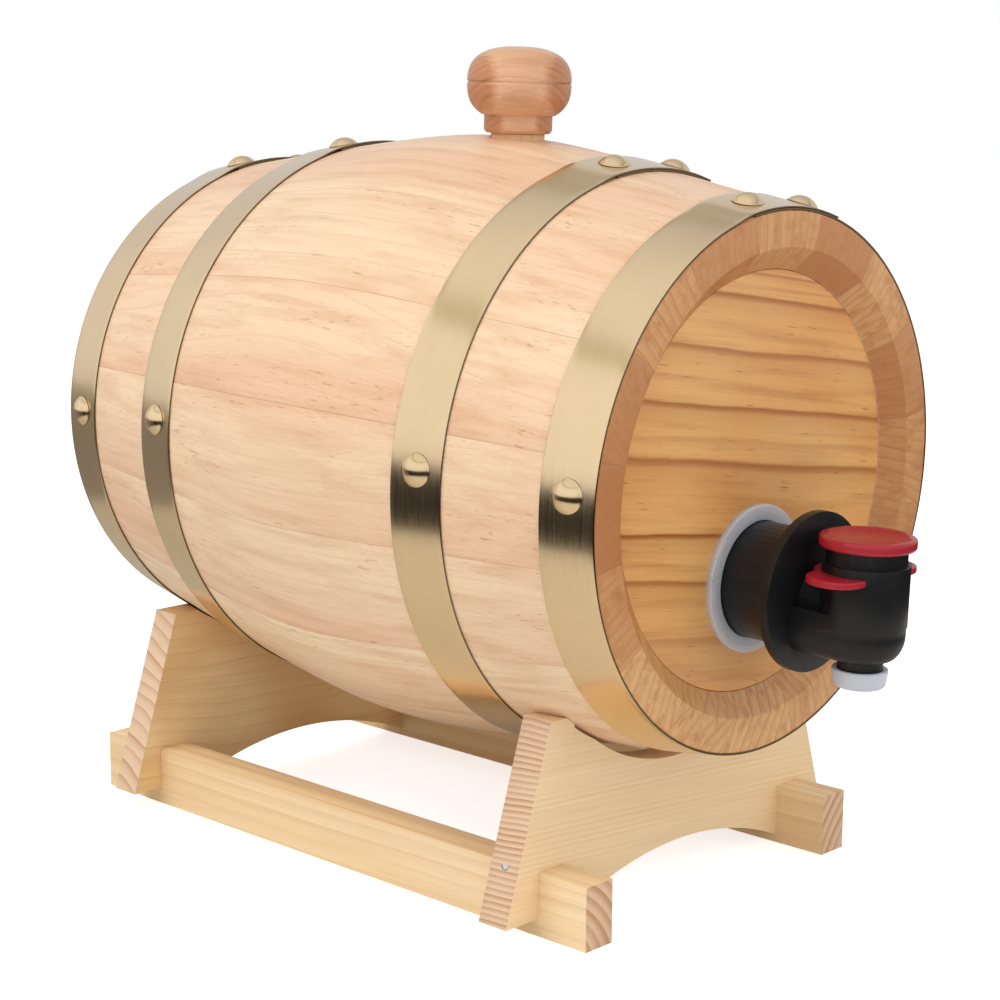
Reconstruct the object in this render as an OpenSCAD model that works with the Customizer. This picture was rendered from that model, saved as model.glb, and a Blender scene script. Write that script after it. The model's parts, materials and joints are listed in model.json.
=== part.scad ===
// Small wooden cask drink dispenser: a coopered cask with four hoops lies on a nailed
// stand, with a turned stopper in its top and a push-button tap in its front head.
// Millimetres. X runs to the right of a person facing the tap, -Y points at that person
// and +Z is up. The origin is on the table, under the middle of the stand.

/* [Cask] */
// Length of the cask between its two ends
cask_length = 214.6; // [180:0.2:260]
// Diameter of the wood at either end
end_diameter = 146.4; // [120:0.2:170]
// Diameter of the wood at the middle
bilge_diameter = 175.8; // [150:0.2:200]
// How far the bend at a stave's middle reaches; beyond it the stave runs nearly straight
stave_bend = 24; // [10:1:80]
// Number of staves round the cask
stave_count = 16; // [12:2:24]
// Thickness of a stave
stave_thickness = 11; // [8:0.5:12]
// Height of the cask's axis above the table, at the middle of the cask
axis_height = 122.5; // [115:0.1:130]
// How far the cask lies in front of the stand's middle
cask_forward = 9.6; // [0:0.1:12]
// How far the cask leans down towards its tap, in degrees
cask_lean = 1.9; // [0:0.1:3]

/* [Heads] */
// Depth of the head's face below the end of the staves
head_depth = 5.5; // [3:0.1:7]
// Radius of the head's face that shows
head_radius = 57.5; // [45:0.1:60]
// Inner radius of the staves' end face, at the outside of the bevel
chime_radius = 63.5; // [60:0.1:66]
// Thickness of a head
head_thickness = 9; // [7:0.5:12]

/* [Hoops] */
// Width of a hoop
hoop_width = 15.8; // [10:0.1:20]
// Thickness of the hoop strip
hoop_thickness = 0.55; // [0.4:0.05:1.2]
// Distance between a chime hoop and the next hoop
hoop_gap = 29.6; // [20:0.1:35]
// Diameter of a rivet's domed head
rivet_diameter = 9; // [6:0.5:12]
// Height of a rivet's domed head
rivet_height = 2.4; // [1.5:0.1:4]

/* [Stand] */
// Distance between the outer faces of the two cradle boards
board_spread = 172.4; // [165:0.2:178]
// Thickness of a cradle board
board_thickness = 10; // [8:0.5:14]
// Width of a cradle board at its feet
board_foot_width = 142.6; // [138:0.2:150]
// Slope of a board's outer edges, in mm of width for each mm of height
board_edge_slope = 0.32; // [0.2:0.01:0.4]
// Height of the feet of a cradle board above the table
board_foot_height = 5; // [3:0.5:8]
// How much narrower the rear board is than the front one
rear_board_narrower = 4.6; // [0:0.2:6]
// Half the distance between the front board's two rounded horns
front_horn_x = 49.8; // [44:0.2:50]
// Half the distance between the rear board's two rounded horns
rear_horn_x = 37; // [35:0.2:44]
// Radius of the rounded inner edge of a horn
horn_radius = 10; // [4:0.5:12]
// Radius of the hollow between the horns
cradle_radius = 61; // [56:1:70]
// Radius of the arch below a cradle board
arch_radius = 115; // [105:1:130]
// Height of the top of that arch above the table
arch_height = 12.8; // [11:0.2:15]
// Width of a rail
rail_width = 10.5; // [8:0.5:14]
// Height of a rail
rail_height = 17.8; // [14:0.2:20]
// Length of a rail
rail_length = 206; // [195:1:215]
// Distance between the outer faces of the two rails
rail_spread = 117; // [110:1:122]

/* [Stopper] */
// Distance of the stopper in front of the cask's middle
stopper_forward = 9.5; // [0:0.5:15]
// Largest diameter of the turned knob
knob_diameter = 30.2; // [24:0.2:36]
// Height of the knob above the underside of its collar
knob_height = 24.6; // [20:0.2:30]
// Fullness of the knob: 2 gives an ellipse, and a larger value a squarer curve
knob_fullness = 2.6; // [2:0.1:4]
// Diameter of the collar under the knob
collar_diameter = 19.8; // [18:0.2:24]
// Diameter of the plug
plug_diameter = 15.6; // [14:0.2:17]
// Height of the collar's underside above the cask's axis
collar_level = 88.8; // [88.6:0.2:92]

/* [Tap] */
// Height of the tap's axis below the cask's axis
tap_drop = 26.3; // [20:0.1:30]
// Outer diameter of the translucent gland ring on the head
gland_diameter = 41; // [39:0.2:44]
// Diameter of the tap's shank
shank_diameter = 32; // [28:0.5:34]
// Diameter of the tap's flange
flange_diameter = 43.4; // [40:0.2:48]
// Thickness of the tap's flange
flange_thickness = 2.6; // [2:0.1:4]
// Distance of the flange's front face in front of the cask's end
flange_reach = 15.4; // [10:0.1:18]
// Distance of the valve housing's axis in front of the cask's end
housing_reach = 30.5; // [28:0.1:34]
// Outer diameter of the valve housing
housing_diameter = 23; // [21:0.5:24]
// Diameter of the red button
button_diameter = 25.4; // [22:0.2:28]
// Thickness of the red button
button_thickness = 3; // [2:0.1:3.5]
// How far the button travels when it is pressed
button_travel = 4; // [2:0.1:4.1]
// Outer diameter of the nozzle
nozzle_diameter = 12; // [11.6:0.1:12.4]
// Diameter of the dust cap's rim
dust_cap_diameter = 14.8; // [14.4:0.1:18]
// Width across the two red finger grips
grip_span = 38; // [32:0.2:40]

/* [Hidden] */
$fn = 64;
stand_nodes = ["front_cradle_board", "rear_cradle_board", "left_rail", "right_rail", "stand_nails"];
stave_names = [for (i = [1:stave_count]) str(i < 10 ? "stave_0" : "stave_", i)];
hoop_names = ["front_chime_hoop", "front_bilge_hoop", "rear_bilge_hoop", "rear_chime_hoop"];
rivet_names = [for (name = hoop_names) str(name, "_rivets")];
cask_nodes = ["front_head", "rear_head", "gland_ring", "bag_gland", "liner_bag"];
stopper_nodes = ["stopper_knob", "stopper_plug", "stopper_seal"];
tap_nodes = ["tap_body", "shank_seal", "finger_grips", "stem_seal", "return_spring"];
valve_nodes = ["button_cap", "valve_plunger", "valve_seal", "dust_cap"];

pine = "#ecd0a6";
pale_pine = "#f0dab6";
head_pine = "#d9a566";
turned_wood = "#d59c74";
brass = "#c9b27a";
black_plastic = "#262626";
red_plastic = "#b32b37";
clear_plastic = "#dfe2e8";
steel = "#b9bcc0";
rubber = "#4a4a4a";
film = "#cfd3d6";

past = 1;             // how far a cut runs past the face it goes through
running_gap = 0.06;   // radial air round a piece that slides or turns
rest_gap = 0.08;      // air between the cask or its hoop and each of its four rests
saddle_gap = 0.9;     // air between the staves and the hollow that runs from rest to rest

end_y = cask_length / 2;
end_r = end_diameter / 2;
bilge_r = bilge_diameter / 2;

// How far the curve of a bent stave, a hyperbola, has dropped at a distance along the cask
// from its middle. Only its shape counts: stave_r scales it to the two diameters.
function bend_drop(y) = sqrt(y * y + stave_bend * stave_bend) - stave_bend;

// Radius of the staves' outside at a distance along the cask from its middle
function stave_r(y) = bilge_r - (bilge_r - end_r) * bend_drop(y) / bend_drop(end_y);

// The same curve as points of [radius, distance along the cask], moved outwards by a gap
profile_steps = 20;
function stave_curve(gap) = [for (k = [0:profile_steps])
    let (y = -end_y + cask_length * k / profile_steps) [stave_r(y) + gap, y]];

// Points of an arc about [r, y], from one angle to another
function arc(r, y, radius, from, to, steps) =
    [for (k = [0:steps]) let (a = from + (to - from) * k / steps)
        [r + radius * cos(a), y + radius * sin(a)]];

// Places a cask part: its own Y axis is the cask's axis, with 0 at the cask's middle
module on_cask() {
    translate([0, -cask_forward, axis_height]) rotate([cask_lean, 0, 0]) children();
}

// Revolves a 2D shape of [radius, distance along the cask] about the cask's axis. A part
// turn is centred on the angle round the cask, which is 0 at the top and grows to the right.
module about_cask_axis(turn = 360, centre = 0) {
    rotate([-90, 0, 0]) rotate([0, 0, centre - 90 - turn / 2])
        rotate_extrude(angle = turn, $fn = 96) children();
}

// ---- Stand ----

front_y = -board_spread / 2;
rail_x = (rail_spread - rail_width) / 2;
inner_foot_height = 2;    // lowest level of the board wood between the rails
rest_width = 5;           // width of the strip at each horn that the cask lies on
horn_bite = 1.1;          // how far a horn's round edge would stand into the cask if uncut
nail_diameter = 1.2;
nail_head_diameter = 2.6;
nail_head_thickness = 0.5;
nail_length = 20;
nail_height = 20.8;       // height of a nail's head on a board's outer edge
nail_angle = 35;          // how steeply a front nail runs down into its rail
rear_nail_length = 30;    // a rear nail is driven up through its rail into the board

// Half width of a board at a height, for a foot of the given width
function board_half(foot_width, z) = foot_width / 2 - board_edge_slope * (z - board_foot_height);

// Height of the centre of a horn's round edge, for a board whose outer face lies at outer_y
function horn_z(horn_x, outer_y) =
    let (along = (outer_y + cask_forward) / cos(cask_lean),
         reach = stave_r(along) + horn_radius - horn_bite)
    axis_height + along * sin(cask_lean) - sqrt(reach * reach - horn_x * horn_x);

// Outline of a cradle board as [x, z], before it is cut to the cask. Its hollow runs
// smoothly into the round edge of each horn, so the two arcs meet on the line that joins
// their centres.
module cradle_outline(foot_width, horn_x, z) {
    foot_x = board_half(foot_width, board_foot_height);
    top_x = board_half(foot_width, z + horn_radius);
    hollow_z = z + sqrt(pow(cradle_radius + horn_radius, 2) - horn_x * horn_x);
    meet = atan2(hollow_z - z, -horn_x);
    right_edge = arc(horn_x, z, horn_radius, 90, meet, 6);
    difference() {
        polygon(concat(
            [[-foot_x, board_foot_height], [-rail_x, board_foot_height],
             [-rail_x, inner_foot_height], [rail_x, inner_foot_height],
             [rail_x, board_foot_height], [foot_x, board_foot_height],
             [top_x, z + horn_radius]],
            right_edge,
            [for (k = [len(right_edge) - 1:-1:0]) [-right_edge[k][0], right_edge[k][1]]],
            [[-top_x, z + horn_radius]]
        ));
        translate([0, hollow_z]) circle(r = cradle_radius, $fn = 96);
        translate([0, arch_height - arch_radius]) circle(r = arch_radius, $fn = 96);
        for (side = [-1, 1]) translate([side * rail_x, 0])
            square([rail_width, 2 * rail_height], center = true);
    }
}

// The space that the cask takes up, with a gap all round it
module cask_space(gap) {
    on_cask() about_cask_axis()
        polygon(concat([[0, -end_y]], stave_curve(gap), [[0, end_y]]));
}

// A board is cut to a gap from the staves at its two rests and a little deeper between
// them. Its outer face lies at outer_y, and inward is 1 where the cask's middle is behind
// that face.
module cradle_board(outer_y, inward, foot_width, horn_x, gap) {
    middle_y = outer_y + inward * board_thickness / 2;
    inner_x = horn_x - rest_width;
    difference() {
        translate([0, middle_y + board_thickness / 2, 0]) rotate([90, 0, 0])
            linear_extrude(board_thickness)
                cradle_outline(foot_width, horn_x, horn_z(horn_x, outer_y));
        cask_space(gap);
        intersection() {
            cask_space(saddle_gap);
            translate([-inner_x, middle_y - board_thickness, 0])
                cube([2 * inner_x, 2 * board_thickness, axis_height]);
        }
        stand_nail_shapes();
    }
}

rear_foot_width = board_foot_width - rear_board_narrower;

module front_cradle_board() {
    color(pine) cradle_board(front_y, 1, board_foot_width, front_horn_x, rest_gap);
}

// The rear board carries the cask by the edge of its chime hoop
module rear_cradle_board() {
    color(pine) cradle_board(-front_y, -1, rear_foot_width, rear_horn_x,
                             hoop_lift + hoop_thickness + rest_gap);
}

module rail(side) {
    color(pale_pine) difference() {
        translate([side * rail_x - rail_width / 2, -rail_length / 2, 0])
            cube([rail_width, rail_length, rail_height]);
        stand_nail_shapes();
    }
}

// A nail whose head is flush with the origin's level and whose shank runs down from it
module nail(length) {
    translate([0, 0, -length]) cylinder(d = nail_diameter, h = length);
    translate([0, 0, -nail_head_thickness])
        cylinder(d = nail_head_diameter, h = nail_head_thickness);
}

// Two nails slant down through the front board's outer edges into the rails, and two run
// straight up through the rails into the rear board
module stand_nail_shapes() {
    for (side = [-1, 1]) {
        translate([side * board_half(board_foot_width, nail_height),
                   front_y + board_thickness / 2, nail_height])
            rotate([0, side * (90 - nail_angle), 0]) nail(nail_length);
        translate([side * rail_x, -front_y - board_thickness / 2, 0])
            rotate([180, 0, 0]) nail(rear_nail_length);
    }
}

module stand_nails() {
    color(steel) stand_nail_shapes();
}

// ---- Cask: staves and heads ----

head_lip = 3;             // thickness of the head in front of its tongue
tongue_thickness = 3;
tongue_height = 2.5;      // how far the tongue stands into the croze
head_gap = 0.1;           // hairline between the head's edge and the staves
rib_depth = head_depth + head_thickness + 2;    // end of the thick part of a stave
curve_depth = rib_depth + 8;                    // where its inner curve starts
bung_hole_r = plug_diameter / 2 + 0.3;

// Inner side of a stave near one end, as [radius, depth below the end of the cask]
rib = [
    [chime_radius, 0],
    [head_radius, head_depth],
    [head_radius, head_depth + head_lip],
    [head_radius + tongue_height, head_depth + head_lip],
    [head_radius + tongue_height, head_depth + head_lip + tongue_thickness],
    [head_radius, head_depth + head_lip + tongue_thickness],
    [head_radius, rib_depth]
];

module stave_profile() {
    curve_y = end_y - curve_depth;
    inside = [for (k = [0:profile_steps]) let (y = curve_y - 2 * curve_y * k / profile_steps)
        [stave_r(y) - stave_thickness, y]];
    polygon(concat(
        stave_curve(0),
        [for (p = rib) [p[0], end_y - p[1]]],
        inside,
        [for (k = [len(rib) - 1:-1:0]) [rib[k][0], rib[k][1] - end_y]]
    ));
}

// The first stave is the top one, and the bung hole goes through it
module stave(i) {
    turn = 360 / stave_count;
    color(i % 2 == 0 ? pine : pale_pine) on_cask() difference() {
        about_cask_axis(turn, i * turn) stave_profile();
        if (i == 0) translate([0, -stopper_forward, 0]) cylinder(r = bung_hole_r, h = 2 * bilge_r);
    }
}

module head_disc() {
    rotate([90, 0, 0]) {
        translate([0, 0, -head_thickness]) cylinder(r = head_radius - head_gap, h = head_thickness);
        translate([0, 0, -head_lip - tongue_thickness])
            cylinder(r = head_radius + tongue_height - head_gap, h = tongue_thickness);
    }
}

module front_head() {
    color(head_pine) on_cask() difference() {
        translate([0, head_depth - end_y, 0]) head_disc();
        translate([0, -end_y, -tap_drop]) rotate([-90, 0, 0])
            cylinder(r = sleeve_r, h = 2 * head_thickness + head_depth);
    }
}

module rear_head() {
    color(head_pine) on_cask() translate([0, end_y - head_depth, 0]) rotate([0, 0, 180]) head_disc();
}

// ---- Cask: hoops and rivets ----

chime_hoop_y = end_y - hoop_width / 2;
bilge_hoop_y = chime_hoop_y - hoop_width - hoop_gap;
hoop_ys = [-chime_hoop_y, -bilge_hoop_y, bilge_hoop_y, chime_hoop_y];
hoop_lift = 0.02;         // hairline between a hoop and the wood
lap_centre = 3;           // angles round the cask, in degrees from its top
lap_turn = 29;
lap_rivet_angles = [-6, 12.5];
side_nail_angles = [-86, 86];
hoop_turns = [0, 0, -1, -3.8];  // how far each hoop was nailed round from its place
rivet_shank_d = 3;
side_nail_length = 7;

// Slope of the cask's side at a distance along it, in degrees
function side_slope(y) = atan(
    -(bilge_r - end_r) / bend_drop(end_y) * y / sqrt(y * y + stave_bend * stave_bend));

module strip_profile(y, level) {
    edges = [y - hoop_width / 2, y, y + hoop_width / 2];
    polygon(concat(
        [for (e = edges) [stave_r(e) + level, e]],
        [for (k = [2:-1:0]) [stave_r(edges[k]) + level + hoop_thickness, edges[k]]]
    ));
}

// Stands a part on the cask's side at a distance along it and an angle round it
module on_side(y, angle, level) {
    rotate([0, angle, 0]) translate([0, y, stave_r(y) + level]) rotate([side_slope(y), 0, 0])
        children();
}

// Stands a part at each rivet of a hoop's lap, on the outer of its two layers
module at_lap_rivets(y) {
    for (angle = lap_rivet_angles) on_side(y, angle, hoop_lift + 2 * hoop_thickness) children();
}

// Stands a part at each nail through a hoop's side
module at_side_nails(y) {
    for (angle = side_nail_angles) on_side(y, angle, hoop_lift + hoop_thickness) children();
}

module rivet_hole() {
    cylinder(d = rivet_shank_d, h = 4 * past, center = true);
}

module hoop(i) {
    y = hoop_ys[i];
    color(brass) on_cask() rotate([0, hoop_turns[i], 0]) difference() {
        union() {
            about_cask_axis() strip_profile(y, hoop_lift);
            about_cask_axis(lap_turn, lap_centre) strip_profile(y, hoop_lift + hoop_thickness);
        }
        at_lap_rivets(y) rivet_hole();
        at_side_nails(y) rivet_hole();
    }
}

module rivet(shank) {
    dome_r = (pow(rivet_diameter / 2, 2) + rivet_height * rivet_height) / (2 * rivet_height);
    intersection() {
        translate([0, 0, rivet_height - dome_r]) sphere(r = dome_r);
        cylinder(d = rivet_diameter, h = rivet_height + past);
    }
    translate([0, 0, -shank]) cylinder(d = rivet_shank_d, h = shank + rivet_height / 2);
}

module hoop_rivets(i) {
    y = hoop_ys[i];
    color(brass) on_cask() rotate([0, hoop_turns[i], 0]) {
        at_lap_rivets(y) rivet(2 * hoop_thickness);
        at_side_nails(y) rivet(side_nail_length);
    }
}

// ---- Cask: gland and bag ----

shank_r = shank_diameter / 2;
sleeve_wall = 2;
sleeve_bore_r = shank_r + running_gap;
sleeve_r = sleeve_bore_r + sleeve_wall;
gland_ring_thickness = 1.6;
weld_flange_r = 24;
weld_flange_thickness = 1.5;
gland_back = head_depth + head_thickness + weld_flange_thickness;
film_thickness = 0.5;
bag_radius = 61.5;
bag_corner = 10;
bag_clearance = 4;        // room between the bag's rear and the rear head

// Places a tap part: the origin is on the tap's axis, level with the end of the cask
module on_tap() {
    on_cask() translate([0, -end_y, -tap_drop]) children();
}

// A ring about the tap's axis, from one distance behind the cask's end to another
module tap_ring(outer, inner, from, to) {
    rotate([-90, 0, 0]) difference() {
        translate([0, 0, from]) cylinder(r = outer, h = to - from);
        translate([0, 0, from - past]) cylinder(r = inner, h = to - from + 2 * past);
    }
}

module gland_ring() {
    color(clear_plastic) on_tap()
        tap_ring(gland_diameter / 2, sleeve_r, head_depth - gland_ring_thickness, head_depth);
}

module bag_gland() {
    color(clear_plastic) on_tap() {
        tap_ring(sleeve_r, sleeve_bore_r, head_depth - gland_ring_thickness, gland_back);
        tap_ring(weld_flange_r, sleeve_r, gland_back - weld_flange_thickness, gland_back);
    }
}

// Half profile of the bag: a cylinder with rounded corners, shrunk by inset on every side
function bag_side(front, rear, inset) = concat(
    [[0, front + inset]],
    arc(bag_radius - bag_corner, front + bag_corner, bag_corner - inset, -90, 0, 6),
    arc(bag_radius - bag_corner, rear - bag_corner, bag_corner - inset, 0, 90, 6),
    [[0, rear - inset]]
);

module liner_bag() {
    front = gland_back - end_y;
    rear = end_y - head_depth - head_thickness - bag_clearance;
    color(film) on_cask() difference() {
        about_cask_axis() polygon(bag_side(front, rear, 0));
        about_cask_axis() polygon(bag_side(front, rear, film_thickness));
        translate([0, front - past, -tap_drop]) rotate([-90, 0, 0])
            cylinder(r = sleeve_bore_r, h = bag_corner);
    }
}

// ---- Stopper ----

knob_r = knob_diameter / 2;
collar_r = collar_diameter / 2;
collar_height = 5.2;
knob_widest = 14.4;       // height of the knob's widest place above the collar's underside
bowl_depth = 11.2;        // height of the whole curve that the knob's lower half is cut from
knob_steps = 10;
groove = [0.4, 0.35];     // depth and half height of the turned groove
plug_length = 20;
spigot_d = 8;
spigot_length = 10;
seal_level = -10;         // height of the seal ring below the collar's underside
seal_wire_r = 0.6;
seal_groove_depth = 1.1;

// Places a stopper part: the origin is at the underside of the collar
module on_stopper() {
    on_cask() translate([0, -stopper_forward, collar_level]) children();
}

// Radius of the knob at a share of its curve's height, above or below the widest place
function knob_at(share) = knob_r * pow(1 - pow(share, knob_fullness), 1 / knob_fullness);

module stopper_knob() {
    dome = knob_height - knob_widest;
    first = (knob_widest - collar_height) / bowl_depth;
    bowl = [for (k = [0:knob_steps - 1]) let (share = first * (1 - k / knob_steps))
        [knob_at(share), knob_widest - bowl_depth * share]];
    top = [for (k = [1:knob_steps]) let (share = sin(90 * k / knob_steps))
        [knob_at(share), knob_widest + dome * share]];
    color(turned_wood) on_stopper() {
        rotate_extrude() polygon(concat(
            [[0, 0], [collar_r - 0.8, 0], [collar_r, 0.9], [collar_r, collar_height]],
            bowl,
            [[knob_r, knob_widest - groove[1]], [knob_r - groove[0], knob_widest],
             [knob_r, knob_widest + groove[1]]],
            top
        ));
        translate([0, 0, -spigot_length]) cylinder(d = spigot_d, h = spigot_length);
    }
}

module stopper_plug() {
    ring_z = seal_level - seal_wire_r;
    color(pine) on_stopper() difference() {
        translate([0, 0, -plug_length]) cylinder(d = plug_diameter, h = plug_length);
        translate([0, 0, -spigot_length]) cylinder(d = spigot_d, h = spigot_length + past);
        translate([0, 0, ring_z]) difference() {
            cylinder(d = plug_diameter + past, h = 2 * seal_wire_r);
            translate([0, 0, -past])
                cylinder(d = plug_diameter - 2 * seal_groove_depth, h = 2 * seal_wire_r + 2 * past);
        }
    }
}

module stopper_seal() {
    color(clear_plastic) on_stopper() translate([0, 0, seal_level]) rotate_extrude()
        translate([plug_diameter / 2 - seal_groove_depth + seal_wire_r + 0.1, 0])
            circle(r = seal_wire_r, $fn = 24);
}

// ---- Tap body ----

housing_r = housing_diameter / 2;
nozzle_r = nozzle_diameter / 2;
housing_top = 10.8;       // heights here are above the tap's axis
housing_shoulder = -7.7;  // where the housing starts to close in towards the nozzle
housing_bottom = -14.9;
nozzle_end = -20.8;
counterbore_floor = 1.5;
guide_underside = -0.5;
chamber_floor = -10.5;
seat_underside = -12.3;
ledge_level = -5.4;       // height of the fine step round the housing
ledge_depth = 0.25;
skirt_r = housing_r - 0.9;
chamber_r = 9;
seat_r = 3.6;
nozzle_bore_r = 4.6;
stem_r = 1.8;
duct_top = -2;            // level of the top of the wide passage behind the housing
web_r = 7.8;
web_level = -1.1;
flow_r = 3.2;
flow_level = -7;
shank_end = gland_back + 2;
shank_bore_r = 12;
shank_bore_front = -8;
shank_seal_y = 9;
shank_seal_r = 0.75;

// Rounded rectangle made of two bars and four corner discs
module rounded_rect(width, height, r) {
    square([width - 2 * r, height], center = true);
    square([width, height - 2 * r], center = true);
    for (sx = [-1, 1], sy = [-1, 1])
        translate([sx * (width / 2 - r), sy * (height / 2 - r)]) circle(r = r, $fn = 32);
}

// Places a part on the valve's axis, which stands upright in front of the cask's end
module on_valve() {
    on_tap() translate([0, -housing_reach, 0]) children();
}

// Rounded bottom of the housing as [half width, height], from its shoulder in to the nozzle
function housing_bowl() =
    let (inner = nozzle_r + 0.5, outer = housing_r - ledge_depth,
         fall = housing_shoulder - housing_bottom)
    [for (k = [0:8]) let (a = 90 * k / 8)
        [inner + (outer - inner) * cos(a), housing_shoulder - fall * sin(a)]];

module housing_outside() {
    rotate_extrude() polygon(concat(
        [[0, housing_top], [housing_r, housing_top], [housing_r, ledge_level],
         [housing_r - ledge_depth, ledge_level - 2 * ledge_depth]],
        housing_bowl(),
        [[nozzle_r, housing_bottom], [nozzle_r, nozzle_end], [0, nozzle_end]]
    ));
}

// The passage from the flange has the housing's own section, so the two run into each other
module duct_section() {
    bowl = housing_bowl();
    top = [housing_r - ledge_depth, duct_top];
    polygon(concat(
        [[-top[0], top[1]], top],
        bowl,
        [for (k = [len(bowl) - 1:-1:0]) [-bowl[k][0], bowl[k][1]]]
    ));
}

module housing_inside() {
    translate([0, 0, counterbore_floor])
        cylinder(r = skirt_r + running_gap, h = housing_top - counterbore_floor + past);
    translate([0, 0, guide_underside - past])
        cylinder(r = stem_r + running_gap, h = counterbore_floor - guide_underside + 2 * past);
    translate([0, 0, chamber_floor]) cylinder(r = chamber_r, h = guide_underside - chamber_floor);
    translate([0, 0, seat_underside - past])
        cylinder(r = seat_r, h = chamber_floor - seat_underside + 2 * past);
    translate([0, 0, nozzle_end - past])
        cylinder(r = nozzle_bore_r, h = seat_underside - nozzle_end + past);
}

module tap_body() {
    flange_back = flange_thickness - flange_reach;
    color(black_plastic) on_tap() difference() {
        union() {
            rotate([-90, 0, 0]) {
                translate([0, 0, -flange_reach])
                    cylinder(d = flange_diameter, h = flange_thickness);
                translate([0, 0, flange_back]) cylinder(r = shank_r, h = shank_end - flange_back);
            }
            translate([0, -flange_reach, 0]) rotate([90, 0, 0])
                linear_extrude(housing_reach - flange_reach) duct_section();
            translate([0, -flange_reach, web_level]) rotate([90, 0, 0])
                cylinder(r = web_r, h = housing_reach - flange_reach);
            translate([0, -housing_reach, 0]) housing_outside();
        }
        translate([0, -housing_reach, 0]) housing_inside();
        translate([0, shank_bore_front, 0]) rotate([-90, 0, 0])
            cylinder(r = shank_bore_r, h = shank_end - shank_bore_front + past);
        translate([0, shank_bore_front + past, flow_level]) rotate([90, 0, 0])
            cylinder(r = flow_r, h = housing_reach + shank_bore_front + past);
        tap_ring(shank_r + past, shank_r - 2 * shank_seal_r, shank_seal_y - shank_seal_r,
                 shank_seal_y + shank_seal_r);
    }
}

module shank_seal() {
    color(rubber) on_tap() translate([0, shank_seal_y, 0]) rotate([90, 0, 0]) rotate_extrude()
        translate([shank_r - shank_seal_r, 0]) circle(r = shank_seal_r, $fn = 24);
}

grip_level = 6.8;
grip_thickness = 1.8;
grip_depth = 15.6;
grip_back = 1.3;          // how far the grips' middle lies behind the valve's axis
grip_round = 7.2;
grip_band = 2;            // width of the band that joins the grips behind the housing

module finger_grips() {
    color(red_plastic) on_valve() translate([0, 0, grip_level]) linear_extrude(grip_thickness)
        difference() {
            union() {
                translate([0, grip_back]) rounded_rect(grip_span, grip_depth, grip_round);
                intersection() {
                    circle(r = housing_r + grip_band, $fn = 64);
                    translate([0, housing_r]) square(2 * housing_r, center = true);
                }
            }
            circle(r = housing_r, $fn = 64);
        }
}

module stem_seal() {
    thickness = 1.2;
    color(rubber) on_valve() translate([0, 0, guide_underside - thickness]) difference() {
        cylinder(r = 2 * stem_r, h = thickness);
        translate([0, 0, -past]) cylinder(r = stem_r + running_gap, h = thickness + 2 * past);
    }
}

// ---- Button, valve and dust cap ----

button_underside = 15;
plunger_top_thickness = 1.8;
skirt_wall = 1.4;
skirt_end = counterbore_floor + button_travel + 0.3;
seal_thickness = 1.6;
seal_top = seat_underside - 0.1;
seal_r = 4.2;
stem_foot_r = 3;
stem_foot_thickness = 0.8;
boss_r = 4;
boss_height = 1;

module button_cap() {
    r = button_diameter / 2;
    dish = 0.5;
    color(red_plastic) on_valve() translate([0, 0, button_underside]) {
        rotate_extrude() polygon(concat(
            [[0, 0], [r - 0.8, 0]],
            arc(r - 0.8, 0.8, 0.8, -90, 0, 3),
            arc(r - 0.8, button_thickness - 0.8, 0.8, 0, 90, 3),
            [[r - 2.2, button_thickness], [r - 3.5, button_thickness - dish],
             [0, button_thickness - dish]]
        ));
        translate([0, 0, -boss_height]) cylinder(r = boss_r, h = boss_height);
    }
}

module valve_plunger() {
    stem_end = seal_top - seal_thickness - stem_foot_thickness;
    top_z = button_underside - plunger_top_thickness;
    color(black_plastic) on_valve() difference() {
        union() {
            difference() {
                translate([0, 0, skirt_end]) cylinder(r = skirt_r, h = button_underside - skirt_end);
                translate([0, 0, skirt_end - past])
                    cylinder(r = skirt_r - skirt_wall, h = top_z - skirt_end + past);
            }
            translate([0, 0, stem_end]) cylinder(r = stem_r, h = top_z - stem_end + past);
            translate([0, 0, stem_end]) cylinder(r = stem_foot_r, h = stem_foot_thickness);
        }
        translate([0, 0, button_underside - boss_height]) cylinder(r = boss_r, h = boss_height + past);
    }
}

module valve_seal() {
    color(rubber) on_valve() translate([0, 0, seal_top - seal_thickness]) difference() {
        cylinder(r = seal_r, h = seal_thickness);
        translate([0, 0, -past]) cylinder(r = stem_r, h = seal_thickness + 2 * past);
    }
}

spring_wire = 0.9;
spring_radius = 5.5;
spring_turns = 7;
rings_per_turn = 12;
wire_sides = 6;

// Coil spring swept as one polyhedron, from a height of one wire radius up to the given length
module coil(length) {
    count = spring_turns * rings_per_turn;
    r = spring_wire / 2;
    climb = length - spring_wire;
    points = [for (k = [0:count], s = [0:wire_sides - 1])
        let (a = 360 * k / rings_per_turn, b = 360 * s / wire_sides)
        [(spring_radius + r * cos(b)) * cos(a), (spring_radius + r * cos(b)) * sin(a),
         r + climb * k / count + r * sin(b)]];
    sides = [for (k = [0:count - 1], s = [0:wire_sides - 1], half = [0, 1])
        let (a = k * wire_sides + s, b = k * wire_sides + (s + 1) % wire_sides,
             c = b + wire_sides, d = a + wire_sides)
        half == 0 ? [a, b, c] : [a, c, d]];
    start = [for (s = [wire_sides - 1:-1:0]) s];
    finish = [for (s = [0:wire_sides - 1]) count * wire_sides + s];
    polyhedron(points = points, faces = concat(sides, [start, finish]));
}

module return_spring() {
    color(steel) on_valve() translate([0, 0, counterbore_floor])
        coil(button_underside - plunger_top_thickness - counterbore_floor);
}

cap_rim_level = -17.4;
cap_floor = 1.2;
cap_end = nozzle_end - 0.3 - cap_floor;

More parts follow.
